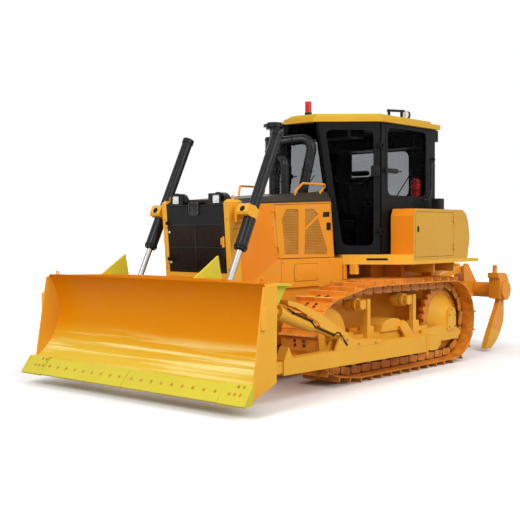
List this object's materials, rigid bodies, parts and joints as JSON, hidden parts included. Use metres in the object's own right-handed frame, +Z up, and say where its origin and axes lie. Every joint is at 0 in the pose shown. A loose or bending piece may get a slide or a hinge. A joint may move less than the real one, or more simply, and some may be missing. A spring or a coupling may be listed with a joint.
{
  "type": "bulldozer",
  "caption": "Crawler bulldozer with a straight blade on hinged push arms, lift cylinders, a cab with opening doors and a parallelogram ripper at the rear.",
  "frame": {"origin": "on the ground, midway between the blade's tip and the ripper's rear, midway between the tracks", "axes": "+X to the machine's left, +Y to its rear, +Z up; the blade is at -Y"},
  "size_m": [3.388, 6.474, 3.32],
  "materials": {
    "paint": "satin",
    "dark": "satin",
    "engine": "rough",
    "glass": "gloss",
    "seat": "matt",
    "lamp": "gloss",
    "track": "rough",
    "edge": "satin",
    "chrome": "polished"
  },
  "bodies": {
    "machine": {"main_frame": "paint", "radiator_guard": "paint", "headlamps": "dark", "hood_sides": "paint", "hood_top": "dark", "engine_block": "engine", "air_intake": "dark", "hood_rails": "paint", "platform": "paint", "side_box_left": "paint", "side_box_right": "paint", "rear_tank": "paint", "cab_frame": "dark", "cab_roof": "paint", "cab_glass": "glass", "cab_seat": "seat", "roof_lamps": "lamp", "track_frame_left": "paint", "track_frame_right": "paint", "track_left": "track", "track_right": "track", "sprocket_left": "track", "sprocket_right": "track"},
    "grille_door": {"grille_door": "dark"},
    "engine_door_left": {"engine_door_left": "paint"},
    "engine_door_right": {"engine_door_right": "paint"},
    "side_box_door": {"side_box_door": "paint"},
    "cab_door_left": {"cab_door_left": "dark", "door_glass_left": "glass"},
    "cab_door_right": {"cab_door_right": "dark", "door_glass_right": "glass"},
    "blade": {"blade": "paint", "cutting_edge": "edge", "push_arms": "paint", "tilt_cylinder": "paint"},
    "lift_barrel_left": {"lift_barrel_left": "dark"},
    "lift_barrel_right": {"lift_barrel_right": "dark"},
    "lift_rod_left": {"lift_rod_left": "chrome"},
    "lift_rod_right": {"lift_rod_right": "chrome"},
    "ripper_frame": {"ripper_frame": "paint"},
    "ripper_links": {"ripper_links": "paint"},
    "ripper_beam": {"ripper_beam": "paint", "ripper_shanks": "paint"},
    "ripper_barrels": {"ripper_barrels": "dark"},
    "ripper_rods": {"ripper_rods": "chrome"}
  },
  "joints": [
    {"name": "grille_door_hinge", "type": "hinge", "parent": "machine", "child": "grille_door", "pos_m": [-0.437, -2.1578, 1.6], "axis": [0, 0.0748, -0.9972], "range_deg": [0, 15]},
    {"name": "engine_door_left_hinge", "type": "hinge", "parent": "machine", "child": "engine_door_left", "pos_m": [0.5125, -1.37152, 1.7], "axis": [0, 0.1208, -0.9927], "range_deg": [0, 90]},
    {"name": "engine_door_right_hinge", "type": "hinge", "parent": "machine", "child": "engine_door_right", "pos_m": [-0.5125, -1.37152, 1.7], "axis": [0, -0.1208, 0.9927], "range_deg": [0, 90]},
    {"name": "side_box_door_hinge", "type": "hinge", "parent": "machine", "child": "side_box_door", "pos_m": [1.2075, 1.336, 1.65], "axis": [0, 0, 1], "range_deg": [0, 110]},
    {"name": "cab_door_left_hinge", "type": "hinge", "parent": "machine", "child": "cab_door_left", "pos_m": [0.85355, 0.1804, 2.2], "axis": [0, 0, 1], "range_deg": [0, 120]},
    {"name": "cab_door_right_hinge", "type": "hinge", "parent": "machine", "child": "cab_door_right", "pos_m": [-0.85355, 0.1804, 2.2], "axis": [0, 0, -1], "range_deg": [0, 120]},
    {"name": "blade_lift", "type": "hinge", "parent": "machine", "child": "blade", "pos_m": [0, 0.47, 0.36], "axis": [-1, 0, 0], "range_deg": [-10.2, 14.4]},
    {"name": "lift_swing_left", "type": "hinge", "parent": "machine", "child": "lift_barrel_left", "pos_m": [0.69, -2.003, 1.9], "axis": [-1, 0, 0], "range_deg": [-8.56, 11.96]},
    {"name": "lift_rod_slide_left", "type": "slide", "parent": "lift_barrel_left", "child": "lift_rod_left", "axis": [0, -0.4384, -0.8988], "range_m": [-0.7367, 0.5227]},
    {"name": "lift_swing_right", "type": "hinge", "parent": "machine", "child": "lift_barrel_right", "pos_m": [-0.69, -2.003, 1.9], "axis": [-1, 0, 0], "range_deg": [-8.56, 11.96]},
    {"name": "lift_rod_slide_right", "type": "slide", "parent": "lift_barrel_right", "child": "lift_rod_right", "axis": [0, -0.4384, -0.8988], "range_m": [-0.7367, 0.5227]},
    {"name": "ripper_lift", "type": "hinge", "parent": "machine", "child": "ripper_frame", "pos_m": [0, 1.99, 0.65], "axis": [1, 0, 0], "range_deg": [-38, 8]},
    {"name": "ripper_link_swing", "type": "hinge", "parent": "machine", "child": "ripper_links", "pos_m": [0, 1.94, 1.01], "axis": [1, 0, 0], "range_deg": [-38.5, 8.5]},
    {"name": "ripper_beam_swing", "type": "hinge", "parent": "ripper_frame", "child": "ripper_beam", "pos_m": [0, 2.86, 0.8], "axis": [1, 0, 0], "range_deg": [-8.5, 38.5]},
    {"name": "ripper_cylinder_swing", "type": "hinge", "parent": "machine", "child": "ripper_barrels", "pos_m": [0, 1.985, 1.215], "axis": [1, 0, 0], "range_deg": [-19.88, 4.58]},
    {"name": "ripper_rod_slide", "type": "slide", "parent": "ripper_barrels", "child": "ripper_rods", "axis": [0, 0.7762, -0.6304], "range_m": [-0.0562, 0.2556]}
  ],
  "couplings": [
    {"joint": "lift_swing_left", "follows": "blade_lift", "ratio": 0.81},
    {"joint": "lift_rod_slide_left", "follows": "blade_lift", "m_per_rad": -2.9193},
    {"joint": "lift_swing_right", "follows": "blade_lift", "ratio": 0.81},
    {"joint": "lift_rod_slide_right", "follows": "blade_lift", "m_per_rad": -2.9193},
    {"joint": "ripper_link_swing", "follows": "ripper_lift", "ratio": 1},
    {"joint": "ripper_beam_swing", "follows": "ripper_lift", "ratio": -1},
    {"joint": "ripper_cylinder_swing", "follows": "ripper_lift", "ratio": 0.51},
    {"joint": "ripper_rod_slide", "follows": "ripper_lift", "m_per_rad": -0.38081}
  ]
}
